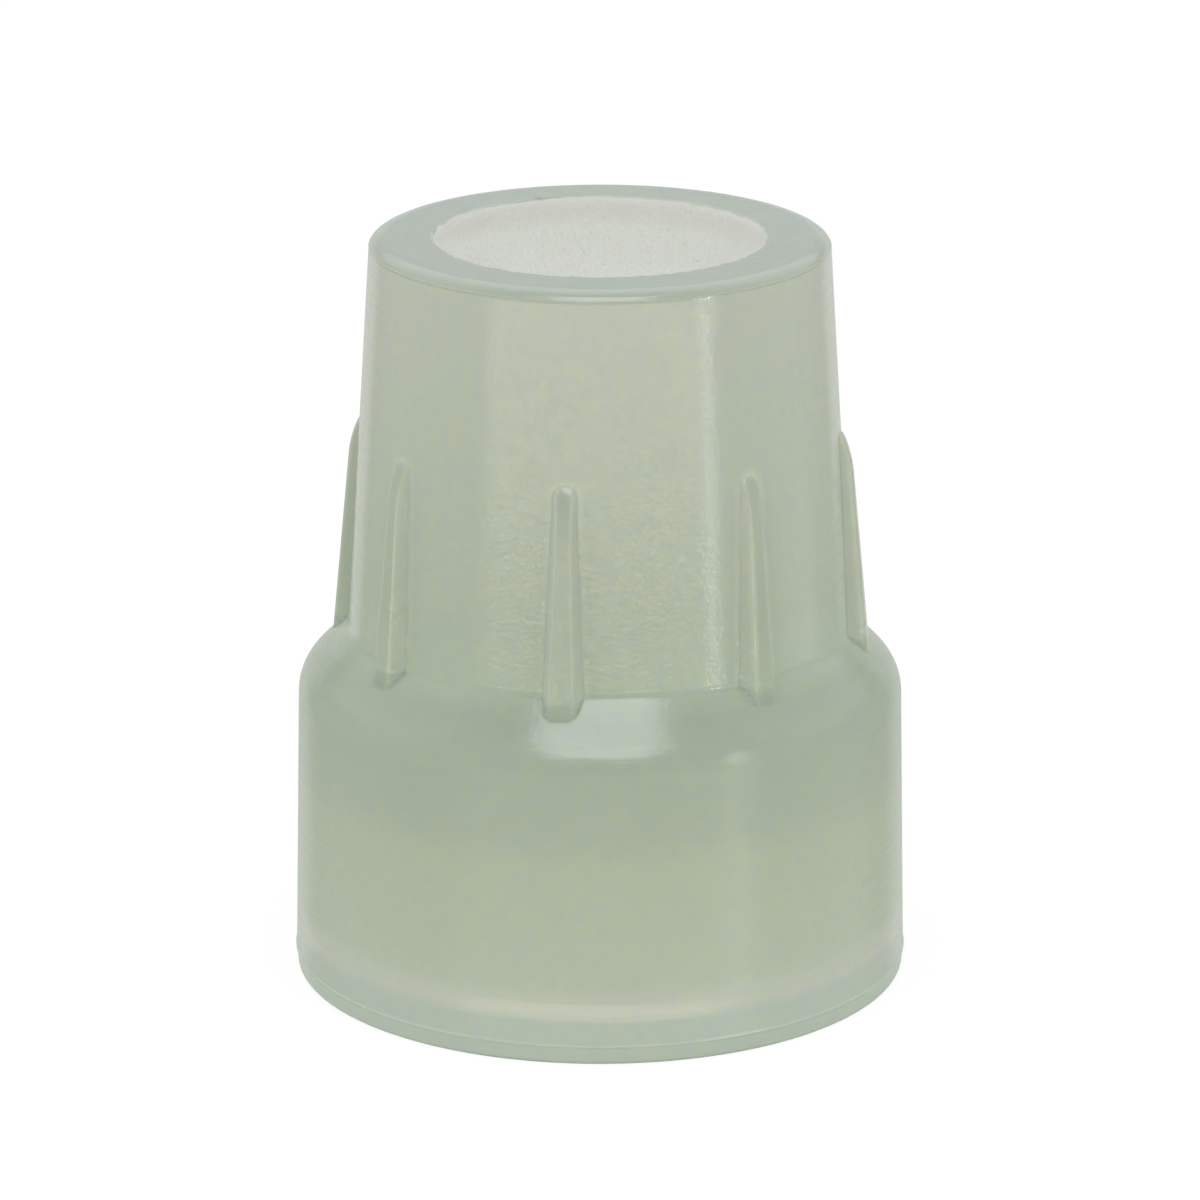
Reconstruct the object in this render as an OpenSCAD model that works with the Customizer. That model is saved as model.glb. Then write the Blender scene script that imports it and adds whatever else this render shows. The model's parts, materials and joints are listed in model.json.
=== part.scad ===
// Soft tip for the foot of a walking stick, moulded in one piece.
// A tapered neck with a plain round socket stands on a wider, solid foot.
// Low ribs run down the neck and end in the sloping shoulder of the foot.
// The axis is Z. The origin is the middle of the face that stands on the floor.

/* [Overall] */
// Height from the floor to the rim
height = 50.6; // [46:0.1:60]

/* [Socket] */
// Diameter of the socket, the size of the tube that it grips
socket_d = 22; // [16:0.5:25]
// Depth of the socket below the rim
socket_depth = 38; // [25:0.5:40]

/* [Neck] */
// Outer diameter of the neck at the parting line under the rim
rim_d = 30.6; // [29:0.1:32]
// Width of the rim's rounded outer edge
rim_round_w = 1.2; // [0.4:0.1:1.8]
// Height of the rim's rounded outer edge, from the parting line to the rim
rim_round_h = 0.65; // [0.3:0.05:2]
// Outer diameter of the neck where it meets the shoulder
neck_foot_d = 33.8; // [32.5:0.1:36]
// Height above the floor at which the neck meets the shoulder
neck_foot_h = 24; // [22:0.5:28]
// Radius of the hollow fillet between neck and shoulder
neck_fillet_r = 0.8; // [0.2:0.1:1.2]

/* [Foot] */
// Slope of the shoulder below the horizontal, in degrees
shoulder_angle = 45; // [38:1:52]
// Radius of the shoulder's rounded edge
shoulder_r = 3.2; // [1:0.1:4]
// Diameter of the foot at the corner of the shoulder
shoulder_d = 40.6; // [39:0.1:41.2]
// Diameter of the foot at its parting line, the widest place of the part
foot_line_d = 41.4; // [41:0.1:43]
// Height of that parting line above the floor
foot_line_h = 1.3; // [0.8:0.1:4]
// Diameter of the face that stands on the floor, up to its rounded edge
sole_d = 41.2; // [38:0.1:42]
// Radius of the sole's rounded edge
sole_edge_r = 0.3; // [0.1:0.05:0.4]

/* [Ribs] */
// Number of ribs around the neck
rib_count = 8; // [2:1:12]
// Length of a rib above the foot of the neck
rib_length = 14; // [8:0.5:20]
// Width of a rib at the neck's surface, at its top end
rib_top_w = 1.6; // [1.2:0.1:2.2]
// Width of a rib at the neck's surface, at the foot of the neck
rib_bottom_w = 2.7; // [2.2:0.1:3.2]
// Height of a rib's crest over the neck, where the crest starts to bend down
rib_top_h = 0.8; // [0.5:0.05:1]
// Height of a rib's crest over the neck, at the foot of the neck
rib_bottom_h = 1.15; // [0.8:0.05:1.5]
// Slope of a rib's sides, measured from the radial direction, in degrees
rib_side_angle = 30; // [20:1:35]
// Radius with which the crest bends down at the top end
rib_bend_r = 7; // [5.5:0.5:12]
// Length of that bend
rib_bend_l = 3; // [2:0.1:3.2]

/* [Hidden] */

// Sides of the round shapes, and steps of each small arc in an outline
$fn = 120;
arc_steps = 8;
// Overshoot of a cut past the face that it opens
cut_past = 1;
// How deep a rib reaches below the surfaces that it stands on
rib_root = 2;

tip_colour = [0.68, 0.72, 0.64];
shoulder_h = neck_foot_h - (shoulder_d - neck_foot_d) / 2 * tan(shoulder_angle);
rim_line_h = height - rim_round_h;

// Radius of the neck at a height above the floor
function neck_r(z) =
    let (share = (z - neck_foot_h) / (rim_line_h - neck_foot_h))
    (neck_foot_d + (rim_d - neck_foot_d) * share) / 2;

function unit(v) = v / norm(v);

// Arc of radius r that rounds corner b of an outline between its neighbours a and c
function rounded(a, b, c, r) =
    let (
        to_a = unit(a - b),
        to_c = unit(c - b),
        half_angle = acos(to_a * to_c) / 2,
        centre = b + unit(to_a + to_c) * r / sin(half_angle),
        first = b + to_a * r / tan(half_angle) - centre,
        last = b + to_c * r / tan(half_angle) - centre,
        start = atan2(first[1], first[0]),
        turn = atan2(cross(first, last), first * last)
    )
    [for (i = [0 : arc_steps])
        let (angle = start + turn * i / arc_steps)
        centre + r * [cos(angle), sin(angle)]];

// Quarter of an ellipse, from the parting line up to the flat rim
function rim_edge() =
    [for (i = [0 : arc_steps])
        let (angle = 90 * i / arc_steps)
        [rim_d / 2 - rim_round_w * (1 - cos(angle)), rim_line_h + rim_round_h * sin(angle)]];

// Half section of the outside, from the middle of the sole up to the rim
module outline() {
    centre_low = [0, 0];
    sole = [sole_d / 2, 0];
    foot_line = [foot_line_d / 2, foot_line_h];
    shoulder = [shoulder_d / 2, shoulder_h];
    neck_foot = [neck_foot_d / 2, neck_foot_h];
    rim_line = [rim_d / 2, rim_line_h];
    centre_high = [0, height];
    polygon(concat(
        [centre_low],
        rounded(centre_low, sole, foot_line, sole_edge_r),
        [foot_line],
        rounded(foot_line, shoulder, neck_foot, shoulder_r),
        rounded(shoulder, neck_foot, rim_line, neck_fillet_r),
        rim_edge(),
        [centre_high]
    ));
}

// Side view of a rib: its crest line, with the bend down into the neck at the top end
module rib_side_view() {
    rib_top = neck_foot_h + rib_length;
    bend_h = rib_top - rib_bend_l;
    crest_low = [neck_r(neck_foot_h) + rib_bottom_h, neck_foot_h];
    crest_high = [neck_r(bend_h) + rib_top_h, bend_h];
    lean = atan2(crest_low[0] - crest_high[0], crest_high[1] - crest_low[1]);
    bend_centre = crest_high - rib_bend_r * [cos(lean), sin(lean)];
    bend_end = asin(sin(lean) + (rib_bend_l + rib_root) / rib_bend_r);
    root_r = neck_r(rib_top) - rib_root;
    root_h = shoulder_h - rib_root;
    polygon(concat(
        [[root_r, root_h]],
        [[crest_low[0] + (neck_foot_h - root_h) * tan(lean), root_h]],
        [for (i = [0 : arc_steps])
            let (angle = lean + (bend_end - lean) * i / arc_steps)
            bend_centre + rib_bend_r * [cos(angle), sin(angle)]],
        [[root_r, bend_centre[1] + rib_bend_r * sin(bend_end)]]
    ));
}

// Sloping sides of a rib: a wedge with its sharp edge outwards, and a cone that rounds its top
module rib_sides() {
    wedge_d = rib_bottom_w / tan(rib_side_angle) + rib_root;
    edge_high = [
        neck_r(neck_foot_h + rib_length) + rib_top_w / 2 / tan(rib_side_angle),
        neck_foot_h + rib_length - rib_top_w / 2
    ];
    edge_low = [neck_r(neck_foot_h) + rib_bottom_w / 2 / tan(rib_side_angle), neck_foot_h];
    lean = atan2(edge_low[0] - edge_high[0], edge_high[1] - edge_low[1]);
    wedge_l = edge_high[1] - shoulder_h + 2 * rib_root;
    half_w = wedge_d * tan(rib_side_angle);
    translate([edge_high[0], 0, edge_high[1]])
        rotate([0, -lean, 0]) {
            translate([0, 0, -wedge_l])
                linear_extrude(wedge_l)
                    polygon([[0, 0], [-wedge_d, half_w], [-wedge_d, -half_w]]);
            rotate([0, -90, 0])
                cylinder(h = wedge_d, r1 = 0, r2 = half_w);
        }
}

// One rib, on the +X side
module rib() {
    intersection() {
        rotate([90, 0, 0])
            linear_extrude(4 * rib_bottom_w, center = true)
                rib_side_view();
        rib_sides();
    }
}

module cane_tip() {
    color(tip_colour)
        difference() {
            union() {
                rotate_extrude()
                    outline();
                for (i = [0 : rib_count - 1])
                    rotate(i * 360 / rib_count)
                        rib();
            }
            translate([0, 0, height - socket_depth])
                cylinder(d = socket_d, h = socket_depth + cut_past);
        }
}

cane_tip();
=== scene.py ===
# %% [markdown]
# A walking stick ends in a soft tip: a thick tube that grips the stick, and a wide solid foot.
# This one is a single piece of pale, cloudy rubber that lets some light through.
# The script builds it as one mesh: an outline turned about the axis, with eight ribs raised
# from the neck. Then it gives the rubber its finish and sets up a plain studio.
# Every length is written in millimetres, as on a maker's drawing, and MM turns it to metres.

# %% Load the frame
import json
import math

import bpy
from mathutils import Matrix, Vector

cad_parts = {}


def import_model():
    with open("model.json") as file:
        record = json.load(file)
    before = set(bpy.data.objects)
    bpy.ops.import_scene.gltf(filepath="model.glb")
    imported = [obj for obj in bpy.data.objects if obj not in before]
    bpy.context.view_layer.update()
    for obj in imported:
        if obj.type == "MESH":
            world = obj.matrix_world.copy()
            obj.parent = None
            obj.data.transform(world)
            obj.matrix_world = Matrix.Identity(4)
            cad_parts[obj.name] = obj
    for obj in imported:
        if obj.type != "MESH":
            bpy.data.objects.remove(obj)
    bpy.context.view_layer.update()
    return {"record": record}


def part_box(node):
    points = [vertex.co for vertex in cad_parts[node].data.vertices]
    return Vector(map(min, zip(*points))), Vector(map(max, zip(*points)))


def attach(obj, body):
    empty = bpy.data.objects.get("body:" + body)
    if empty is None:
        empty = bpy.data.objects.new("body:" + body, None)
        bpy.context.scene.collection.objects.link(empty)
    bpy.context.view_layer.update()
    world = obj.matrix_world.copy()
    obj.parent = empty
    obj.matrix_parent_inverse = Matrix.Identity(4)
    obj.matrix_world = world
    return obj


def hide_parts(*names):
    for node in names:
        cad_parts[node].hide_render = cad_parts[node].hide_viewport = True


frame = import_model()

MM = 0.001

# %% [markdown]
# The sizes are the ones of the moulded part. Height, foot and socket are checked against
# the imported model, so that a slip shows at once.

# %% Sizes of the tip, in millimetres
SOCKET_R, SOCKET_DEPTH = 11.0, 38.0
HEIGHT = 50.6
RIM_R, RIM_ROUND_W, RIM_ROUND_H = 15.3, 1.2, 0.65
NECK_FOOT_R, NECK_FOOT_H, NECK_FILLET = 16.9, 24.0, 0.8
SHOULDER_R, SHOULDER_SLOPE, SHOULDER_ROUND = 20.3, math.radians(45), 3.2
FOOT_LINE_R, FOOT_LINE_H = 20.7, 1.3
SOLE_R, SOLE_ROUND = 20.6, 0.3
RIB_COUNT, RIB_LENGTH = 8, 14.0
RIB_TOP_W, RIB_BOTTOM_W = 1.6, 2.7
RIB_TOP_H, RIB_BOTTOM_H = 0.8, 1.15
RIB_SIDE_SLOPE = math.radians(30)
RIB_BEND_R, RIB_BEND_L = 7.0, 3.0

SHOULDER_H = NECK_FOOT_H - (SHOULDER_R - NECK_FOOT_R) * math.tan(SHOULDER_SLOPE)
RIM_LINE_H = HEIGHT - RIM_ROUND_H
RIB_TOP = NECK_FOOT_H + RIB_LENGTH

top_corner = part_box("cane_tip")[1]
socket = next(m for m in frame["record"]["mounts"] if m["name"] == "tube_socket")
print("height off by", round(top_corner[2] / MM - HEIGHT, 3), "mm")
print("foot off by", round(top_corner[0] / MM - FOOT_LINE_R, 3), "mm")
print("socket off by", round(socket["dims"]["r_mm"] - SOCKET_R, 3), "mm")

# %% [markdown]
# The camera comes first, so that each later step can be judged in the right view.
# It looks slightly down and a little from one side, through a long lens.

# %% Camera
VIEW_TURN = math.radians(8.1)
VIEW_RISE = math.radians(17.39)
VIEW_DISTANCE = 412.96 * MM
AIM = Vector((0, 0, 25.37 * MM))
FILM_WIDTH, FOCAL_LENGTH = 36, 184.2

camera = bpy.data.objects.new("camera", bpy.data.cameras.new("camera"))
bpy.context.collection.objects.link(camera)
towards_camera = Vector((
    math.sin(VIEW_TURN) * math.cos(VIEW_RISE),
    -math.cos(VIEW_TURN) * math.cos(VIEW_RISE),
    math.sin(VIEW_RISE),
))
camera.location = AIM + VIEW_DISTANCE * towards_camera
camera.rotation_euler = towards_camera.to_track_quat("Z", "Y").to_euler()
camera.data.sensor_width = FILM_WIDTH
camera.data.lens = FOCAL_LENGTH
camera.data.clip_start = 10 * MM
bpy.context.scene.camera = camera
bpy.context.scene.view_settings.view_transform = "Standard"
print("camera at", [round(v, 3) for v in camera.location])

# %% [markdown]
# The outside and the socket are one closed outline turned about the axis, as a lathe would cut
# the mould. A rounded corner is an arc between its two neighbours. Long straight stretches get
# a row close to each end, which keeps the soft shading of an arc from running into them.

# %% Helpers for the outline
def arc_at(before, corner, after, radius, steps):
    """Points of the arc that rounds a corner of the outline."""
    to_before = (Vector(before) - Vector(corner)).normalized()
    to_after = (Vector(after) - Vector(corner)).normalized()
    half = to_before.angle(to_after) / 2
    middle = Vector(corner) + (to_before + to_after).normalized() * radius / math.sin(half)
    first = Vector(corner) + to_before * radius / math.tan(half) - middle
    last = Vector(corner) + to_after * radius / math.tan(half) - middle
    start = math.atan2(first.y, first.x)
    turn = math.atan2(first.x * last.y - first.y * last.x, first.dot(last))
    angles = [start + turn * i / steps for i in range(steps + 1)]
    return [(middle.x + radius * math.cos(a), middle.y + radius * math.sin(a)) for a in angles]


def straight(first, last, step, end=0.06):
    """Rows between two points, without the points themselves, the outer ones close to the ends."""
    first, last = Vector(first), Vector(last)
    length = (last - first).length
    count = max(1, round((length - 2 * end) / step))
    shares = [end / length + (1 - 2 * end / length) * i / count for i in range(count + 1)]
    return [tuple(first.lerp(last, s)) for s in shares]


def neck_r(z):
    """Radius of the plain neck at a height."""
    return NECK_FOOT_R + (RIM_R - NECK_FOOT_R) * (z - NECK_FOOT_H) / (RIM_LINE_H - NECK_FOOT_H)


def mould_line(point, width, rise):
    """A fine ridge, or a groove where the rise is negative, where two parts of the mould met."""
    r, z = point
    return [(r, z - width), (r + rise, z - width / 3), (r + rise, z + width / 3), (r, z + width)]


print("neck radius halfway up:", round(neck_r((NECK_FOOT_H + HEIGHT) / 2), 2), "mm")

# %% [markdown]
# The outline runs from the middle of the sole up the outside, over the rim and down the socket.
# Rows lie closer together where a rib's rounded top needs them. Each point carries the zone
# that it belongs to: skin, rim, edge or socket.

# %% Outline of the tip
LINE_WIDTH, RIDGE_RISE, GROOVE_RISE = 0.1, 0.06, -0.04
MOUTH_ROUND, FLOOR_ROUND = 0.15, 0.8
RIB_TIP_FROM, RIB_TIP_TO = 35.6, 38.4
RIM_STEPS = 10
SOLE_ROWS, FLOOR_ROWS = (4, 10, 16, 19.5), (9, 6, 3)

sole, foot_line = (SOLE_R, 0), (FOOT_LINE_R, FOOT_LINE_H)
shoulder, neck_foot = (SHOULDER_R, SHOULDER_H), (NECK_FOOT_R, NECK_FOOT_H)
rim_line = (RIM_R, RIM_LINE_H)
mouth, socket_floor = (SOCKET_R, HEIGHT), (SOCKET_R, HEIGHT - SOCKET_DEPTH)
rib_tip_from, rib_tip_to = (neck_r(RIB_TIP_FROM), RIB_TIP_FROM), (neck_r(RIB_TIP_TO), RIB_TIP_TO)

sole_arc = arc_at((0, 0), sole, foot_line, SOLE_ROUND, steps=4)
shoulder_arc = arc_at(foot_line, shoulder, neck_foot, SHOULDER_ROUND, steps=14)
fillet_arc = arc_at(shoulder, neck_foot, rim_line, NECK_FILLET, steps=6)
rim_arc = [
    (RIM_R - RIM_ROUND_W * (1 - math.cos(a)), RIM_LINE_H + RIM_ROUND_H * math.sin(a))
    for a in [math.pi / 2 * i / RIM_STEPS for i in range(RIM_STEPS + 1)]
]
mouth_arc = arc_at((RIM_R, HEIGHT), mouth, socket_floor, MOUTH_ROUND, steps=4)
floor_arc = arc_at(mouth, socket_floor, (0, socket_floor[1]), FLOOR_ROUND, steps=5)
foot_ridge = mould_line(foot_line, LINE_WIDTH, RIDGE_RISE)
rim_groove = mould_line(rim_line, LINE_WIDTH, GROOVE_RISE)

outside = (
    [(r, 0) for r in SOLE_ROWS]
    + sole_arc
    + straight(sole_arc[-1], foot_ridge[0], step=0.4)
    + foot_ridge
    + straight(foot_ridge[-1], shoulder_arc[0], step=1.6)
    + shoulder_arc
    + straight(shoulder_arc[-1], fillet_arc[0], step=0.1)
    + fillet_arc
    + straight(fillet_arc[-1], rib_tip_from, step=0.5)
    + straight(rib_tip_from, rib_tip_to, step=0.09, end=0.04)
    + straight(rib_tip_to, rim_groove[0], step=1.4)
    + rim_groove
    + rim_arc[1:]
)
rim_face = straight(rim_arc[-1], mouth_arc[0], step=0.7) + mouth_arc[:1]
inside = (
    mouth_arc[-1:]
    + straight(mouth_arc[-1], floor_arc[0], step=3.2)
    + floor_arc
    + [(r, socket_floor[1]) for r in FLOOR_ROWS]
)
outline = [(r, z, "skin") for r, z in outside]
outline += [(r, z, "rim") for r, z in rim_face]
outline += [(r, z, "edge") for r, z in mouth_arc[1:-1]]
outline += [(r, z, "socket") for r, z in inside]
print("rows:", len(outline))

# %% [markdown]
# A lathe form needs only even columns, but the ribs have straight edges that lean. So the
# columns of the mesh follow those edges: close together at the edges of each rib, wide apart
# between the ribs. The width of a rib at a height comes from its sloping sides.

# %% Where the ribs' edges run
SIDE_TAN = math.tan(RIB_SIDE_SLOPE)
EDGE_HIGH_Z = RIB_TOP - RIB_TOP_W / 2
EDGE_HIGH_R = neck_r(RIB_TOP) + RIB_TOP_W / 2 / SIDE_TAN
EDGE_LOW_R = neck_r(NECK_FOOT_H) + RIB_BOTTOM_W / 2 / SIDE_TAN
EDGE_LEAN = (EDGE_LOW_R - EDGE_HIGH_R) / (EDGE_HIGH_Z - NECK_FOOT_H)
BEND_Z = RIB_TOP - RIB_BEND_L
CREST_LOW_R = neck_r(NECK_FOOT_H) + RIB_BOTTOM_H
CREST_HIGH_R = neck_r(BEND_Z) + RIB_TOP_H
CREST_LEAN = (CREST_LOW_R - CREST_HIGH_R) / (BEND_Z - NECK_FOOT_H)


def edge_r(z):
    """Radius of the line in which the two sloping sides of a rib would meet."""
    return EDGE_LOW_R - EDGE_LEAN * (z - NECK_FOOT_H)


def crest_r(z):
    """Radius of a rib's flat crest."""
    bend = RIB_BEND_R - math.sqrt(RIB_BEND_R ** 2 - max(0, z - BEND_Z) ** 2)
    return CREST_LOW_R - CREST_LEAN * (z - NECK_FOOT_H) - bend


print("crest stands out", round(crest_r(NECK_FOOT_H) - NECK_FOOT_R, 2), "mm at the neck's foot")

# %% Columns of the mesh
# The columns run straight down below the first height, and a rib's foot keeps its width below
# the second. The offsets place columns on both sides of the crest's edge and of the rib's foot.
LEAN_FROM, FOOT_LEAN_FROM = 22.2, 23.6
CREST_OFFSETS = (-0.17, -0.09, -0.03, 0.03, 0.09)
FOOT_OFFSETS = (-0.1, -0.03, 0.04, 0.12)
LEAST_SIDE_W = 0.25
GAP_COLUMNS, GAP_SPREAD = 7, 1.3


def half_sector(z):
    """Angles of the columns from the middle of a rib to the middle of the gap beside it."""
    z = min(max(z, LEAN_FROM), EDGE_HIGH_Z)
    crest = (edge_r(z) - crest_r(z)) * SIDE_TAN
    foot = max((edge_r(z) - neck_r(max(z, FOOT_LEAN_FROM))) * SIDE_TAN, crest + LEAST_SIDE_W)
    rib = [0, crest * 0.5]
    rib += [crest + offset for offset in CREST_OFFSETS]
    rib += [(crest + foot) / 2]
    rib += [foot + offset for offset in FOOT_OFFSETS]
    angles = [math.asin(y / neck_r(z)) for y in rib]
    last = math.pi / RIB_COUNT
    shares = [(i / GAP_COLUMNS) ** GAP_SPREAD for i in range(1, GAP_COLUMNS + 1)]
    return angles + [angles[-1] + (last - angles[-1]) * share for share in shares]


def ring(z):
    """Angles of a whole row of the mesh."""
    half = half_sector(z)
    sector = [-a for a in half[:0:-1]] + half[:-1]
    return [i * 2 * math.pi / RIB_COUNT + a for i in range(RIB_COUNT) for a in sector]


print("columns:", len(ring(NECK_FOOT_H)))

# %% [markdown]
# The turned blank is plain mesh code: rows of points joined by quads, and a fan at each pole.
# Three attributes go with it. They say which points lie on the outside, where ribs may rise,
# which lie on the edge of the mouth, and which faces are the wall and floor of the socket.

# %% Turned blank
def turned_blank(name):
    points, on_outside, on_edge = [(0, 0, 0)], [0.0], [0.0]
    for r, z, zone in outline:
        for angle in ring(z):
            points.append((r * math.cos(angle) * MM, r * math.sin(angle) * MM, z * MM))
            on_outside.append(float(zone == "skin"))
            on_edge.append(float(zone == "edge"))
    points.append((0, 0, socket_floor[1] * MM))
    on_outside.append(0.0)
    on_edge.append(0.0)
    columns = len(ring(0))
    faces = [(0, 2 + c if c + 1 < columns else 1, 1 + c) for c in range(columns)]
    in_socket = [False] * columns
    for row in range(len(outline) - 1):
        a, b = 1 + row * columns, 1 + (row + 1) * columns
        for c in range(columns):
            d = (c + 1) % columns
            faces.append((a + c, a + d, b + d, b + c))
            in_socket.append(outline[row + 1][2] == "socket")
    a, centre = 1 + (len(outline) - 1) * columns, len(points) - 1
    for c in range(columns):
        faces.append((a + c, a + (c + 1) % columns, centre))
        in_socket.append(True)
    mesh = bpy.data.meshes.new(name)
    mesh.from_pydata(points, [], faces)
    mesh.attributes.new("outside", "FLOAT", "POINT").data.foreach_set("value", on_outside)
    mesh.attributes.new("mouth_edge", "FLOAT", "POINT").data.foreach_set("value", on_edge)
    mesh.attributes.new("socket", "BOOLEAN", "FACE").data.foreach_set("value", in_socket)
    mesh.shade_smooth()
    blank = bpy.data.objects.new(name, mesh)
    bpy.context.collection.objects.link(blank)
    return blank


blank = turned_blank("tip_blank")
print("blank:", len(blank.data.vertices), "points,", len(blank.data.polygons), "faces")

# %% [markdown]
# Both finishes below are the same rubber. Outside it lay against a polished mould, so it is
# smooth and half glossy. The core that formed the socket was rough, so its wall is matt.
# A few small functions come first: one turns a colour as written to the values that Blender
# works with, one adds a node of any kind, and one colours the rubber by height.

# %% Helpers for materials
def linear(hex_colour, alpha=1.0):
    """An sRGB hex colour as the linear values that Blender works with."""
    values = [int(hex_colour[i:i + 2], 16) / 255 for i in (1, 3, 5)]
    return [v / 12.92 if v <= 0.04045 else ((v + 0.055) / 1.055) ** 2.4 for v in values] + [alpha]


def add(tree, kind, inputs=None, out=0, **settings):
    """Adds a node with its settings, and its inputs as values or as links. Returns one output."""
    node = tree.nodes.new(kind)
    for name, value in settings.items():
        setattr(node, name, value)
    for key, value in (inputs or {}).items():
        if isinstance(value, bpy.types.NodeSocket):
            tree.links.new(value, node.inputs[key])
        else:
            node.inputs[key].default_value = value
    return node.outputs[out] if len(node.outputs) else node


def new_material(name):
    material = bpy.data.materials.new(name)
    material.use_nodes = True
    material.node_tree.nodes.clear()
    return material, material.node_tree


def height_colour(tree, height, colours):
    """A colour ramp over the height of the tip. Each stop is a height in millimetres and a colour."""
    share = add(tree, "ShaderNodeMath", {0: height, 1: HEIGHT * MM}, operation="DIVIDE")
    ramp = add(tree, "ShaderNodeValToRGB", {0: share})
    stops = ramp.node.color_ramp.elements
    stops[0].position, stops[0].color = colours[0][0] / HEIGHT, linear(colours[0][1])
    stops[1].position, stops[1].color = colours[-1][0] / HEIGHT, linear(colours[-1][1])
    for z, colour in colours[1:-1]:
        stops.new(z / HEIGHT).color = linear(colour)
    return ramp


print("mid grey in linear values:", [round(v, 3) for v in linear("#808080")[:3]])

# %% [markdown]
# The rubber's colour depends on how far light travels in it, and the light and shade that this gives are painted
# into the colour by height. Where the wall is thin round the socket it looks pale and warm. Between the socket's end
# and the shoulder the light has the longest way, so a darker, greener band of painted shade shows. The solid foot is
# yellower, and a pale ring of painted light runs round it where light gathers above the sole. The mould line at the
# foot carries a painted highlight. The corner under the neck is painted paler against its shade, and the rim's face
# and outer edge are painted darker as painted shade.

# %% Colours of the rubber by height, with painted light and shade
SKIN_COLOURS_AND_PAINTED_LIGHT = [
    (1.2, "#A5AEA3"),
    # 1.27 to 1.34 mm: a painted highlight along the mould line
    (1.27, "#B2BBB0"),
    (1.34, "#B2BBB0"),
    (1.41, "#A5AEA3"),
    (2.8, "#A4ADA3"),
    # 3.6 mm: the pale ring above the sole is painted light
    (3.6, "#AEB2A7"),
    (5.6, "#A3AB9B"),
    # 13.4 to 22.6 mm: the darker, greener band is painted shade
    (13.4, "#9FA795"),
    (15.4, "#99A293"),
    (22.6, "#949F90"),
    # 24.2 mm: painted light against the shade in the corner under the neck
    (24.2, "#9FA999"),
    (28.0, "#9DA596"),
    (49.8, "#A7ACA1"),
    # 50.25 and 50.6 mm: painted shade on the rim's outer edge and face
    (50.25, "#9AA096"),
    (50.6, "#A9B2AB"),
]
# the socket's colour: darker at the mouth, and paler deeper down as painted light
SOCKET_COLOURS_AND_PAINTED_LIGHT = [(43.0, "#F3F5F5"), (48.5, "#D2D5D3"), (50.6, "#ADAEA9")]
print("colour stops:", len(SKIN_COLOURS_AND_PAINTED_LIGHT), "outside,", len(SOCKET_COLOURS_AND_PAINTED_LIGHT), "in the socket")

# %% [markdown]
# The moulded skin has three layers of look. Faint cloudy mottling, the painted light and shade of the ribs and the
# painted light and shade by height vary the base colour. Half of the light goes into the milky rubber and comes out
# about a millimetre away, the other half is plain diffuse. A clear coat gives the gloss: soft low down, sharper on
# the neck, and almost none on the strip under the foot's mould line, which came from an unpolished part of the
# mould.
# Light that scatters inside the rubber blurs the shading of thin ribs. So the base is shaded
# with the normal of the blank, before the ribs rose, and only the coat follows the ribs.
# The coat's relief holds a fine grain and the turning marks of the mould, which run round it.
# Real grain is finer than a picture shows, so it is drawn as coarse as it needs to be seen.
# The relief also holds a low swelling above the sole, too slight to see in the outline, which
# tips the gloss there so that the pale ring shines towards the front.

# %% Values of the moulded skin, lengths in millimetres
RUBBER_IOR = 1.41
MILKY_SHARE, MILKY_DEPTH, MILKY_REACH = 0.5, 1.0, (1.0, 0.95, 0.75)
POLISH_FROM, POLISH_TO, UNPOLISHED = 1.1, 1.2, 0.2
SHOULDER_FROM, SHOULDER_TO = 19.0, 20.4
NECK_FROM, NECK_TO = 23.6, 24.4
FOOT_ROUGHNESS, SHOULDER_ROUGHNESS, NECK_ROUGHNESS = 0.24, 0.16, 0.08
CLOUD_SIZE, GRAIN_SIZE, MARK_SIZE, MARK_STRETCH = 0.8, 0.3, 0.25, (0.06, 0.06, 1.0)
NOISE_LOW, NOISE_HIGH = 0.35, 0.65
# the first two scale the colour for the ribs' painted shade and painted light
DARKEST_PAINTED_SHADE, PALEST_PAINTED_LIGHT, LEAST_COAT = 0.73, 1.27, 0.8
MARKS_ON_FOOT, MARKS_ON_NECK = 0.7, 0.1
RELIEF_DEPTH, RELIEF_ON_FOOT, RELIEF_ON_NECK = 0.05, 1.0, 0.45
SWELL_FROM, SWELL_TO, SWELL_HEIGHT = 3.0, 4.2, 0.125
print("coat roughness from foot to neck:", FOOT_ROUGHNESS, SHOULDER_ROUGHNESS, NECK_ROUGHNESS)


# %% Colour of the skin
def skin_colour(tree, coords, height):
    """Colour by height with painted light and shade, a faint mottling, and the ribs' painted light and shade."""
    colour = height_colour(tree, height, SKIN_COLOURS_AND_PAINTED_LIGHT)
    cloud = add(tree, "ShaderNodeTexNoise", {"Vector": coords, "Scale": 1 / (CLOUD_SIZE * MM), "Detail": 3.0})
    share = add(tree, "ShaderNodeMapRange", {0: cloud, 1: NOISE_LOW, 2: NOISE_HIGH})
    tint = add(tree, "ShaderNodeMix", {0: share, 6: linear("#F9FCFD"), 7: linear("#FFFFF5")}, out=2,
               data_type="RGBA")
    mottled = add(tree, "ShaderNodeMix", {0: 1.0, 6: colour, 7: tint}, out=2,
                  data_type="RGBA", blend_type="MULTIPLY")
    # the ribs' painted light and shade, kept by the tree as an attribute
    tone = add(tree, "ShaderNodeAttribute", out=2, attribute_name="rib_painted_light_and_shade")
    paler = add(tree, "ShaderNodeMapRange", {0: tone, 1: -1.0, 2: 1.0, 3: DARKEST_PAINTED_SHADE, 4: PALEST_PAINTED_LIGHT})
    return add(tree, "ShaderNodeMix", {0: 1.0, 6: mottled, 7: paler}, out=2,
               data_type="RGBA", blend_type="MULTIPLY")


print("tones scale the colour by", DARKEST_PAINTED_SHADE, "to", PALEST_PAINTED_LIGHT)


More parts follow.
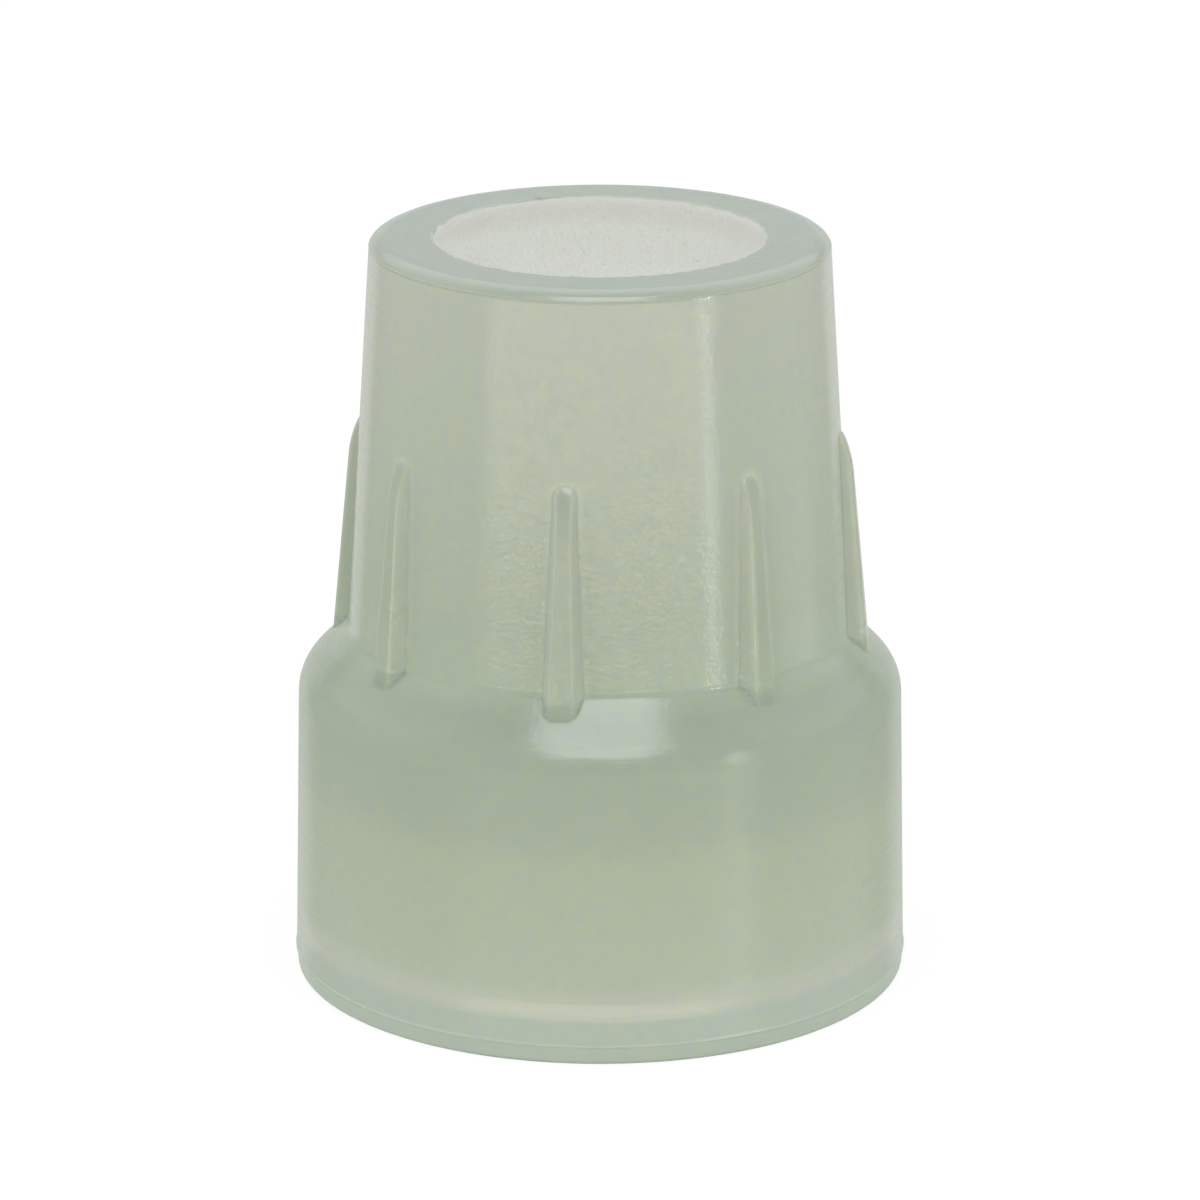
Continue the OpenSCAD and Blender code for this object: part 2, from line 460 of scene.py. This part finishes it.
# %% Gloss and relief of the skin
def skin_roughness(tree, height):
    """Roughness of the coat: least on the neck, most on the foot."""
    foot = add(tree, "ShaderNodeMapRange", {0: height, 1: SHOULDER_FROM * MM, 2: SHOULDER_TO * MM,
                                            3: FOOT_ROUGHNESS, 4: SHOULDER_ROUGHNESS})
    neck = add(tree, "ShaderNodeMapRange", {0: height, 1: NECK_FROM * MM, 2: NECK_TO * MM,
                                            3: 0.0, 4: SHOULDER_ROUGHNESS - NECK_ROUGHNESS})
    return add(tree, "ShaderNodeMath", {0: foot, 1: neck}, operation="SUBTRACT")


def skin_relief(tree, coords, height, marks):
    """Bumped normal of the coat: grain, turning marks and the low swelling above the sole."""
    grain = add(tree, "ShaderNodeTexNoise", {"Vector": coords, "Scale": 1 / (GRAIN_SIZE * MM), "Detail": 2.0})
    turned_share = add(tree, "ShaderNodeMapRange", {0: height, 1: NECK_FROM * MM, 2: NECK_TO * MM,
                                                    3: MARKS_ON_FOOT, 4: MARKS_ON_NECK})
    fine = add(tree, "ShaderNodeMix", {0: turned_share, 2: grain, 3: marks}, data_type="FLOAT")
    swell = SWELL_HEIGHT / RELIEF_DEPTH
    rise = add(tree, "ShaderNodeMapRange", {0: height, 1: SWELL_FROM * MM, 2: SWELL_TO * MM, 3: 0.0, 4: swell})
    fall = add(tree, "ShaderNodeMapRange", {0: height, 1: SWELL_TO * MM, 2: SHOULDER_FROM * MM,
                                            3: 0.0, 4: swell})
    swelling = add(tree, "ShaderNodeMath", {0: rise, 1: fall}, operation="SUBTRACT")
    relief = add(tree, "ShaderNodeMath", {0: fine, 1: swelling}, operation="ADD")
    depth = add(tree, "ShaderNodeMapRange", {0: height, 1: NECK_FROM * MM, 2: NECK_TO * MM,
                                             3: RELIEF_ON_FOOT, 4: RELIEF_ON_NECK})
    return add(tree, "ShaderNodeBump", {"Strength": depth, "Distance": RELIEF_DEPTH * MM, "Height": relief})


print("swelling:", round(math.degrees(math.atan(SWELL_HEIGHT / (SWELL_TO - SWELL_FROM))), 1), "degrees steep")


# %% Material of the moulded skin
def moulded_skin():
    """Half glossy, cloudy rubber: pale, milky inside, with soft window-like highlights."""
    material, tree = new_material("rubber_moulded_glossy")
    coords = add(tree, "ShaderNodeTexCoord", out=3)
    height = add(tree, "ShaderNodeSeparateXYZ", {0: coords}, out=2)
    drawn_out = add(tree, "ShaderNodeVectorMath", {0: coords, 1: MARK_STRETCH}, operation="MULTIPLY")
    marks = add(tree, "ShaderNodeTexNoise", {"Vector": drawn_out, "Scale": 1 / (MARK_SIZE * MM), "Detail": 3.0})
    gloss = add(tree, "ShaderNodeMapRange", {0: marks, 1: NOISE_LOW, 2: NOISE_HIGH, 3: LEAST_COAT, 4: 1.0})
    polished = add(tree, "ShaderNodeMapRange", {0: height, 1: POLISH_FROM * MM, 2: POLISH_TO * MM,
                                                3: UNPOLISHED, 4: 1.0})
    coat = add(tree, "ShaderNodeMath", {0: gloss, 1: polished}, operation="MULTIPLY")
    blank_normal = add(tree, "ShaderNodeAttribute", out=1, attribute_name="turned_normal")
    shader = add(tree, "ShaderNodeBsdfPrincipled", {
        "Base Color": skin_colour(tree, coords, height), "Roughness": 0.5, "IOR": RUBBER_IOR,
        "Normal": blank_normal, "Specular IOR Level": 0.0,
        "Coat Weight": coat, "Coat Roughness": skin_roughness(tree, height), "Coat IOR": RUBBER_IOR,
        "Coat Normal": skin_relief(tree, coords, height, marks),
        "Subsurface Weight": MILKY_SHARE, "Subsurface Radius": MILKY_REACH,
        "Subsurface Scale": MILKY_DEPTH * MM,
    })
    add(tree, "ShaderNodeOutputMaterial", {0: shader})
    return material


SKIN = moulded_skin()
print("material:", SKIN.name, "with", len(SKIN.node_tree.nodes), "nodes")

# %% [markdown]
# The wall of the socket is matt and grainy, with a few specks of dust. It is thin and lit from outside too, so its
# light is spread much further, and the mouth looks lit from within. Its colour is also painted paler deeper down, as
# painted light, and darker at the mouth.

# %% Finish of the socket
SOCKET_GRAIN_SIZE, SOCKET_GRAIN_DEPTH, DUST_SIZE = 0.18, 0.1, 0.25
DUST_LOW, DUST_HIGH, DUST_SHARE = 0.7, 0.76, 0.3
SOCKET_MILKY_DEPTH = 9.0


def matt_socket():
    """Matt, fine grained rubber with grey specks, its colour painted paler deeper down as painted light, so that it
    looks bright near the mouth.
    """
    material, tree = new_material("rubber_moulded_matt")
    coords = add(tree, "ShaderNodeTexCoord", out=3)
    height = add(tree, "ShaderNodeSeparateXYZ", {0: coords}, out=2)
    # the colour by depth carries painted light
    colour = height_colour(tree, height, SOCKET_COLOURS_AND_PAINTED_LIGHT)
    grain = add(tree, "ShaderNodeTexNoise", {"Vector": coords, "Scale": 1 / (SOCKET_GRAIN_SIZE * MM), "Detail": 3.0})
    light = add(tree, "ShaderNodeMapRange", {0: grain, 1: NOISE_LOW, 2: NOISE_HIGH, 3: 0.93, 4: 1.0})
    grainy = add(tree, "ShaderNodeMix", {0: 1.0, 6: colour, 7: light}, out=2,
                 data_type="RGBA", blend_type="MULTIPLY")
    dust = add(tree, "ShaderNodeTexNoise", {"Vector": coords, "Scale": 1 / (DUST_SIZE * MM), "Detail": 1.0})
    speck = add(tree, "ShaderNodeMapRange", {0: dust, 1: DUST_LOW, 2: DUST_HIGH, 3: 0.0, 4: DUST_SHARE})
    specked = add(tree, "ShaderNodeMix", {0: speck, 6: grainy, 7: linear("#8E9187")}, out=2,
                  data_type="RGBA")
    bump = add(tree, "ShaderNodeBump", {"Strength": 0.5, "Distance": SOCKET_GRAIN_DEPTH * MM, "Height": grain})
    shader = add(tree, "ShaderNodeBsdfPrincipled", {
        "Base Color": specked, "Roughness": 0.75, "IOR": RUBBER_IOR, "Normal": bump,
        "Subsurface Weight": 1.0, "Subsurface Radius": MILKY_REACH,
        "Subsurface Scale": SOCKET_MILKY_DEPTH * MM,
    })
    add(tree, "ShaderNodeOutputMaterial", {0: shader})
    return material


SOCKET_WALL = matt_socket()
print("material:", SOCKET_WALL.name, "with", len(SOCKET_WALL.node_tree.nodes), "nodes")

# %% [markdown]
# The ribs repeat by rule, so Geometry Nodes raise them. For each point the tree folds its angle
# round the axis onto one rib with a ping-pong, works out how far the rib would stand there, and
# moves the point out to it. Smooth minimum and maximum round the crest's edges and the rib's foot.

# %% Inputs of the tree that raises the ribs
RIB_SIZES = {
    "Edge Radius": edge_r(0) * MM,
    "Edge Lean": EDGE_LEAN,
    "Edge Top": EDGE_HIGH_Z * MM,
    "Crest Radius": (CREST_LOW_R + CREST_LEAN * NECK_FOOT_H) * MM,
    "Crest Lean": CREST_LEAN,
    "Bend Start": BEND_Z * MM,
    "Bend Radius": RIB_BEND_R * MM,
    "Side Tangent": SIDE_TAN,
    "Crest Edge Round": 0.4 * MM,
    "Foot Fillet": 0.2 * MM,
    # how far the painted light beside a rib's foot and the painted highlight on the crest's edges reach
    "Painted Light Reach": 0.5 * MM,
    "Painted Highlight Reach": 0.07 * MM,
    "Flash Size": 0.35 * MM,
}
print("crest radius on the neck's foot:", round(CREST_LOW_R, 2), "mm")

# %% Forms of a rib
MATH = "ShaderNodeMath"


def length_of(tree, a, b):
    """Length of the line whose two sides at a right angle are a and b."""
    corner = add(tree, "ShaderNodeCombineXYZ", {0: a, 1: b, 2: 0.0})
    return add(tree, "ShaderNodeVectorMath", {0: corner}, out=1, operation="LENGTH")


def rib_sides(tree, given, radius, angle, z):
    """Radius of a rib's sloping sides at each point. Past the top they close round it like a cone."""
    half_pitch = add(tree, MATH, {0: math.pi, 1: given["Rib Count"]}, operation="DIVIDE")
    fold = add(tree, MATH, {0: angle, 1: half_pitch}, operation="PINGPONG")
    sine = add(tree, MATH, {0: fold}, operation="SINE")
    across = add(tree, MATH, {0: radius, 1: sine}, operation="MULTIPLY")
    above = add(tree, MATH, {0: z, 1: given["Edge Top"]}, operation="SUBTRACT")
    past_top = add(tree, MATH, {0: above, 1: 0.0}, operation="MAXIMUM")
    away = length_of(tree, across, past_top)
    lean = add(tree, MATH, {0: z, 1: given["Edge Lean"]}, operation="MULTIPLY")
    edge = add(tree, MATH, {0: given["Edge Radius"], 1: lean}, operation="SUBTRACT")
    drop = add(tree, MATH, {0: away, 1: given["Side Tangent"]}, operation="DIVIDE")
    return add(tree, MATH, {0: edge, 1: drop}, operation="SUBTRACT")


def rib_crest(tree, given, z):
    """Radius of a rib's crest at each height. Near its top it bends inwards on an arc."""
    above = add(tree, MATH, {0: z, 1: given["Bend Start"]}, operation="SUBTRACT")
    past_bend = add(tree, MATH, {0: above, 1: 0.0}, operation="MAXIMUM")
    round_squared = add(tree, MATH, {0: given["Bend Radius"], 1: given["Bend Radius"]}, operation="MULTIPLY")
    past_squared = add(tree, MATH, {0: past_bend, 1: past_bend}, operation="MULTIPLY")
    left = add(tree, MATH, {0: round_squared, 1: past_squared}, operation="SUBTRACT")
    positive = add(tree, MATH, {0: left, 1: 0.0}, operation="MAXIMUM")
    reach = add(tree, MATH, {0: positive}, operation="SQRT")
    bend = add(tree, MATH, {0: given["Bend Radius"], 1: reach}, operation="SUBTRACT")
    lean = add(tree, MATH, {0: z, 1: given["Crest Lean"]}, operation="MULTIPLY")
    plain = add(tree, MATH, {0: given["Crest Radius"], 1: lean}, operation="SUBTRACT")
    return add(tree, MATH, {0: plain, 1: bend}, operation="SUBTRACT")


print("crest width at the neck's foot:",
      round(2 * (edge_r(NECK_FOOT_H) - crest_r(NECK_FOOT_H)) * SIDE_TAN, 2), "mm")

# %% [markdown]
# Scattered light evens out the shading of thin forms, so the light and shade on the ribs are painted into the
# colour. A rib's flanks and the corner beside them get painted light, paler than the wall, against the shade they
# would have; the crest's edges get a thin painted highlight, and the crest painted shade, a little darker. The tone
# is a number from -1 to 1 that the skin's colour reads.

# %% Painted light and shade of a rib
# strengths of the painted light beside a rib, the painted highlight on its crest's edges and the painted shade on
# its crest
BESIDE_PAINTED_LIGHT, EDGE_PAINTED_HIGHLIGHT, CREST_PAINTED_SHADE = 0.6, 0.5, 0.25
FLANK_FADE_TOP, FLANK_FADE_FOOT = 0.05, 0.1


def painted_line_mask(tree, given, a, b, reach):
    """A mask of 1 for painted light where two forms of the rib meet, which fades out over a distance to each side.
    """
    gap = add(tree, MATH, {0: a, 1: b}, operation="SUBTRACT")
    across = add(tree, MATH, {0: gap, 1: given["Side Tangent"]}, operation="MULTIPLY")
    distance = add(tree, MATH, {0: across}, operation="ABSOLUTE")
    share = add(tree, MATH, {0: distance, 1: reach}, operation="DIVIDE")
    fade = add(tree, MATH, {0: 1.0, 1: share}, operation="SUBTRACT")
    return add(tree, MATH, {0: fade, 1: 0.0}, operation="MAXIMUM")


def rib_painted_light_and_shade(tree, given, radius, side, crest, z):
    """Painted light and shade of each point, from the radius of the wall and those of a rib's sides and crest."""
    on_neck = add(tree, MATH, {0: z, 1: NECK_FOOT_H * MM}, operation="GREATER_THAN")
    # painted light beside a rib's foot
    near_foot = painted_line_mask(tree, given, radius, side, given["Painted Light Reach"])
    near_foot = add(tree, MATH, {0: near_foot, 1: on_neck}, operation="MULTIPLY")
    beside = add(tree, MATH, {0: near_foot, 1: BESIDE_PAINTED_LIGHT}, operation="MULTIPLY")
    # painted light on the flanks
    under_crest = add(tree, MATH, {0: crest, 1: side}, operation="SUBTRACT")
    under_crest = add(tree, "ShaderNodeMapRange", {0: under_crest, 1: 0.0, 2: FLANK_FADE_TOP * MM})
    off_wall = add(tree, MATH, {0: side, 1: radius}, operation="SUBTRACT")
    off_wall = add(tree, "ShaderNodeMapRange", {0: off_wall, 1: 0.0, 2: FLANK_FADE_FOOT * MM})
    flank = add(tree, MATH, {0: under_crest, 1: off_wall}, operation="MULTIPLY")
    # painted highlight on the crest's edges
    near_edge = painted_line_mask(tree, given, crest, side, given["Painted Highlight Reach"])
    risen = add(tree, MATH, {0: crest, 1: radius}, operation="GREATER_THAN")
    near_edge = add(tree, MATH, {0: near_edge, 1: risen}, operation="MULTIPLY")
    on_edge = add(tree, MATH, {0: near_edge, 1: EDGE_PAINTED_HIGHLIGHT}, operation="MULTIPLY")
    # painted shade on the crest
    on_crest = add(tree, MATH, {0: side, 1: crest}, operation="GREATER_THAN")
    on_crest = add(tree, MATH, {0: on_crest, 1: risen}, operation="MULTIPLY")
    on_crest = add(tree, MATH, {0: on_crest, 1: on_neck}, operation="MULTIPLY")
    darker = add(tree, MATH, {0: on_crest, 1: CREST_PAINTED_SHADE}, operation="MULTIPLY")
    paler = add(tree, MATH, {0: beside, 1: flank}, operation="MAXIMUM")
    paler = add(tree, MATH, {0: paler, 1: on_edge}, operation="ADD")
    return add(tree, MATH, {0: paler, 1: darker}, operation="SUBTRACT")


print("tones: beside", BESIDE_PAINTED_LIGHT, "edge", EDGE_PAINTED_HIGHLIGHT, "crest", -CREST_PAINTED_SHADE)

# %% [markdown]
# The tree also roughens the edge of the mouth a little, as the flash of a mould does. It keeps the blank's normal
# and the ribs' painted light and shade as attributes for the finish, and sets both materials.

# %% Geometry Nodes tree that raises the ribs
RIB_LOWEST = SHOULDER_H + 0.4
FLASH_PATTERN = 0.35


def rib_tree():
    tree = bpy.data.node_groups.new("raise_ribs", "GeometryNodeTree")
    tree.interface.new_socket("Geometry", in_out="INPUT", socket_type="NodeSocketGeometry")
    tree.interface.new_socket("Rib Count", in_out="INPUT", socket_type="NodeSocketInt")
    for name in RIB_SIZES:
        tree.interface.new_socket(name, in_out="INPUT", socket_type="NodeSocketFloat")
    tree.interface.new_socket("Skin", in_out="INPUT", socket_type="NodeSocketMaterial")
    tree.interface.new_socket("Socket Wall", in_out="INPUT", socket_type="NodeSocketMaterial")
    tree.interface.new_socket("Geometry", in_out="OUTPUT", socket_type="NodeSocketGeometry")
    given = tree.nodes.new("NodeGroupInput").outputs

    position = add(tree, "GeometryNodeInputPosition")
    x = add(tree, "ShaderNodeSeparateXYZ", {0: position}, out=0)
    y, z = x.node.outputs[1], x.node.outputs[2]
    radius = length_of(tree, x, y)
    angle = add(tree, MATH, {0: y, 1: x}, operation="ARCTAN2")
    side = rib_sides(tree, given, radius, angle, z)
    crest = rib_crest(tree, given, z)
    rib = add(tree, MATH, {0: crest, 1: side, 2: given["Crest Edge Round"]}, operation="SMOOTH_MIN")
    raised = add(tree, MATH, {0: radius, 1: rib, 2: given["Foot Fillet"]}, operation="SMOOTH_MAX")
    stretch = add(tree, MATH, {0: raised, 1: radius}, operation="DIVIDE")
    new_x = add(tree, MATH, {0: x, 1: stretch}, operation="MULTIPLY")
    new_y = add(tree, MATH, {0: y, 1: stretch}, operation="MULTIPLY")
    place = add(tree, "ShaderNodeCombineXYZ", {0: new_x, 1: new_y, 2: z})

    outside = add(tree, "GeometryNodeInputNamedAttribute", {0: "outside"}, data_type="FLOAT")
    high_enough = add(tree, MATH, {0: z, 1: RIB_LOWEST * MM}, operation="GREATER_THAN")
    may_rise = add(tree, MATH, {0: outside, 1: high_enough}, operation="MULTIPLY")
    ribbed = add(tree, "FunctionNodeCompare", {0: may_rise, 1: 0.5}, operation="GREATER_THAN")
    normal = add(tree, "GeometryNodeInputNormal")
    kept = add(tree, "GeometryNodeStoreNamedAttribute",
               {"Geometry": given["Geometry"], "Name": "turned_normal", "Value": normal},
               data_type="FLOAT_VECTOR")
    # painted light and shade of the ribs, kept for the skin's colour
    tone = rib_painted_light_and_shade(tree, given, radius, side, crest, z)
    tone = add(tree, MATH, {0: tone, 1: outside}, operation="MULTIPLY")
    kept = add(tree, "GeometryNodeStoreNamedAttribute", {"Geometry": kept, "Name": "rib_painted_light_and_shade", "Value": tone})
    moved = add(tree, "GeometryNodeSetPosition", {"Geometry": kept, "Selection": ribbed, "Position": place})

    mouth_edge = add(tree, "GeometryNodeInputNamedAttribute", {0: "mouth_edge"}, data_type="FLOAT")
    uneven = add(tree, "ShaderNodeTexNoise",
                 {"Vector": position, "Scale": 1 / (FLASH_PATTERN * MM), "Detail": 2.0}, out=1)
    centred = add(tree, "ShaderNodeVectorMath", {0: uneven, 1: (0.5, 0.5, 0.5)}, operation="SUBTRACT")
    shift = add(tree, "ShaderNodeVectorMath", {0: centred, "Scale": given["Flash Size"]}, operation="SCALE")
    moved = add(tree, "GeometryNodeSetPosition", {"Geometry": moved, "Selection": mouth_edge, "Offset": shift})

    real = add(tree, "GeometryNodeRealizeInstances", {"Geometry": moved})
    skin = add(tree, "GeometryNodeSetMaterial", {"Geometry": real, "Material": given["Skin"]})
    in_socket = add(tree, "GeometryNodeInputNamedAttribute", {0: "socket"}, data_type="BOOLEAN")
    wall = add(tree, "GeometryNodeSetMaterial", {"Geometry": skin, "Selection": in_socket,
                                                 "Material": given["Socket Wall"]})
    add(tree, "NodeGroupOutput", {0: wall})
    return tree


raise_ribs = rib_tree()
print("tree:", raise_ribs.name, "with", len(raise_ribs.nodes), "nodes")

# %% Raise the ribs and make the result a plain mesh
def set_inputs(modifier, values):
    """Sets a modifier's named inputs by their identifiers."""
    for item in modifier.node_group.interface.items_tree:
        if item.in_out == "INPUT" and item.name in values:
            modifier[item.identifier] = values[item.name]


modifier = blank.modifiers.new("ribs", "NODES")
modifier.node_group = raise_ribs
set_inputs(modifier, {**RIB_SIZES, "Rib Count": RIB_COUNT, "Skin": SKIN, "Socket Wall": SOCKET_WALL})
evaluated = blank.evaluated_get(bpy.context.evaluated_depsgraph_get())
tip_mesh = bpy.data.meshes.new_from_object(evaluated)
tip = bpy.data.objects.new("tip_moulded", tip_mesh)
bpy.context.collection.objects.link(tip)
bpy.data.objects.remove(blank)
print("tip:", len(tip_mesh.vertices), "points,", [m.name for m in tip_mesh.materials])

# %% [markdown]
# The studio is plain: a pale floor, an even pale room, and a soft panel above.
# To the camera the floor is nearly as white as the room, but it keeps the tip's soft shadow.
# The wall of the tip leans back a little, so it mirrors what lies below eye level. The floor is
# therefore left out of reflections, as with a product on a small table in front of lit walls.

# %% Floor
FLOOR_SIZE = 6
FLOOR_GLOW, FLOOR_GLOW_SHARE = 1.08, 0.8


def floor():
    """A matt, pale floor with the shadow of the tip, which looks nearly white to the camera."""
    bpy.ops.mesh.primitive_plane_add(size=FLOOR_SIZE)
    plane = bpy.context.object
    plane.name = "floor"
    material, tree = new_material("floor_white")
    camera_ray = add(tree, "ShaderNodeLightPath", out=0)
    matt = add(tree, "ShaderNodeBsdfDiffuse", {"Color": linear("#E6E6E6")})
    glow = add(tree, "ShaderNodeEmission", {"Color": linear("#FFFFFF"), "Strength": FLOOR_GLOW})
    share = add(tree, MATH, {0: camera_ray, 1: FLOOR_GLOW_SHARE}, operation="MULTIPLY")
    mixed = add(tree, "ShaderNodeMixShader", {0: share, 1: matt, 2: glow})
    add(tree, "ShaderNodeOutputMaterial", {0: mixed})
    plane.data.materials.append(material)
    plane.visible_glossy = False
    return plane


ground = floor()
print("floor:", FLOOR_SIZE, "m wide")

# %% [markdown]
# The room is white to the camera. It lights the rubber evenly, a little more from above and
# from the front. Only in reflections does it hold lit patches, which the gloss mirrors.
# A patch is named for what it puts on the rubber. Turns count to the right in the picture.

# %% Lit patches of the room: turn, reach to each side, low and high end, strength, soft edge
# All but the strength are in degrees.
WARM_PATCHES = {
    "wide band on the front of the neck": (-2.5, 52.5, -9.4, -7.45, 7.8, 4),
    "bright front of the ring above the sole": (-2.5, 52.5, -40, -27.5, 5.4, 8),
}
WHITE_PATCHES = {
    "pale back of the rim's face": (180, 36.5, -180, 13.9, 0.5, 0.3),
    "bright streak down the neck": (52, 1, -13, -7.45, 9.0, 1.2),
    "faint streak down the foot": (53.5, 2, -30, 19, 3.4, 2),
    "soft light on the foot's right side": (75, 41, -17.7, -13, 0.9, 2),
    "glint on the shoulder": (53.5, 2, 12, 18, 28.0, 2),
    "sheen on the shoulder's sides": (180, 100, 20, 62, 0.7, 10),
}
PATCH_EDGE = math.radians(0.3)
ROOM_MIRRORED, PATCH_WARMTH = "#6C6C6C", "#FFF1D8"
LIGHT_BELOW, LIGHT_ABOVE = 2.0, 0.5
LIGHT_BEHIND, LIGHT_IN_FRONT = 0.87, 1.3
print("patches:", len(WARM_PATCHES) + len(WHITE_PATCHES))


# %% Helpers for the room
def level_direction(turn):
    """A level direction, turned to the right of the camera's side."""
    return (math.sin(VIEW_TURN + turn), -math.cos(VIEW_TURN + turn), 0)


def lit_patch(tree, level, rise, *row):
    """Brightness of one patch of the room in each direction."""
    turn, reach, low, high, strength, blur = row
    turn, reach, low, high, blur = [math.radians(v) for v in (turn, reach, low, high, blur)]
    cosine = add(tree, "ShaderNodeVectorMath", {0: level, 1: level_direction(turn)}, out=1,
                 operation="DOT_PRODUCT")
    away = add(tree, MATH, {0: cosine}, operation="ARCCOSINE")
    beside = add(tree, "ShaderNodeMapRange", {0: away, 1: reach - blur, 2: reach + blur,
                                              3: strength, 4: 0.0})
    above = add(tree, "ShaderNodeMapRange", {0: rise, 1: low - PATCH_EDGE, 2: low + PATCH_EDGE})
    below = add(tree, "ShaderNodeMapRange", {0: rise, 1: high - PATCH_EDGE, 2: high + PATCH_EDGE,
                                             3: 1.0, 4: 0.0})
    upright = add(tree, MATH, {0: above, 1: below}, operation="MULTIPLY")
    return add(tree, MATH, {0: beside, 1: upright}, operation="MULTIPLY")


def lit_patches(tree, level, rise, rows):
    """Brightness of several patches together."""
    total = 0.0
    for row in rows.values():
        total = add(tree, MATH, {0: total, 1: lit_patch(tree, level, rise, *row)}, operation="ADD")
    return total


print("towards the camera's side:", [round(v, 2) for v in level_direction(0)])


# %% World
def mirrored_room(tree, level, rise):
    """The room as the gloss mirrors it: an even grey, with warm and white patches."""
    in_front = lit_patches(tree, level, rise, WARM_PATCHES)
    around = lit_patches(tree, level, rise, WHITE_PATCHES)
    warm = add(tree, "ShaderNodeMix", {0: 1.0, 6: linear(PATCH_WARMTH), 7: in_front}, out=2,
               data_type="RGBA", blend_type="MULTIPLY")
    both = add(tree, "ShaderNodeMix", {0: 1.0, 6: warm, 7: around}, out=2,
               data_type="RGBA", blend_type="ADD")
    return add(tree, "ShaderNodeMix", {0: 1.0, 6: both, 7: linear(ROOM_MIRRORED)}, out=2,
               data_type="RGBA", blend_type="ADD")


def soft_room(tree, level, upward):
    """The room as it lights the rubber."""
    by_height = add(tree, "ShaderNodeMapRange", {0: upward, 1: 0.0, 2: 1.0, 3: LIGHT_BELOW, 4: LIGHT_ABOVE})
    facing = add(tree, "ShaderNodeVectorMath", {0: level, 1: level_direction(0)}, out=1,
                 operation="DOT_PRODUCT")
    by_side = add(tree, "ShaderNodeMapRange", {0: facing, 1: -1.0, 2: 1.0, 3: LIGHT_BEHIND, 4: LIGHT_IN_FRONT})
    return add(tree, MATH, {0: by_height, 1: by_side}, operation="MULTIPLY")


def world():
    room = bpy.data.worlds.new("studio")
    bpy.context.scene.world = room
    room.use_nodes = True
    tree = room.node_tree
    tree.nodes.clear()
    direction = add(tree, "ShaderNodeTexCoord", out=0)
    x = add(tree, "ShaderNodeSeparateXYZ", {0: direction}, out=0)
    y, upward = x.node.outputs[1], x.node.outputs[2]
    rise = add(tree, MATH, {0: upward}, operation="ARCSINE")
    flat = add(tree, "ShaderNodeCombineXYZ", {0: x, 1: y, 2: 0.0})
    level = add(tree, "ShaderNodeVectorMath", {0: flat}, operation="NORMALIZE")
    camera_ray = add(tree, "ShaderNodeLightPath", out=0)
    glossy_ray = camera_ray.node.outputs["Is Glossy Ray"]
    seen = add(tree, "ShaderNodeMix", {0: glossy_ray, 6: soft_room(tree, level, upward),
                                       7: mirrored_room(tree, level, rise)}, out=2, data_type="RGBA")
    colour = add(tree, "ShaderNodeMix", {0: camera_ray, 6: seen, 7: linear("#FFFFFF")}, out=2,
                 data_type="RGBA")
    light = add(tree, "ShaderNodeBackground", {0: colour, 1: 1.0})
    add(tree, "ShaderNodeOutputWorld", {0: light})
    return tree


print("world:", len(world().nodes), "nodes")

# %% [markdown]
# One soft panel hangs above and in front. It only shows in the gloss, as the window-like
# highlight on the shoulder. Its power follows from its brightness and its size.

# %% Lamp
PANEL_WIDTH, PANEL_HEIGHT = 0.42, 0.5
PANEL_DISTANCE, PANEL_RISE = 0.33, 0.6
PANEL_BRIGHTNESS = 6.2
PANEL_AIM = Vector((0, 0, 0.03))

lamp = bpy.data.lights.new("top_panel", "AREA")
lamp.shape = "RECTANGLE"
lamp.size, lamp.size_y = PANEL_WIDTH, PANEL_HEIGHT
lamp.energy = PANEL_BRIGHTNESS * math.pi * PANEL_WIDTH * PANEL_HEIGHT
lamp.color = linear("#EEF2FF")[:3]
panel = bpy.data.objects.new("top_panel", lamp)
bpy.context.collection.objects.link(panel)
panel.location = Vector(level_direction(0)) * PANEL_DISTANCE + Vector((0, 0, PANEL_RISE))
panel.rotation_euler = (panel.location - PANEL_AIM).to_track_quat("Z", "Y").to_euler()
panel.visible_camera = False
panel.visible_diffuse = False
print("panel:", round(lamp.energy, 2), "W")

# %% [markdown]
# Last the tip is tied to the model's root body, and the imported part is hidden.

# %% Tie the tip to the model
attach(tip, "root")
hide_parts("cane_tip")
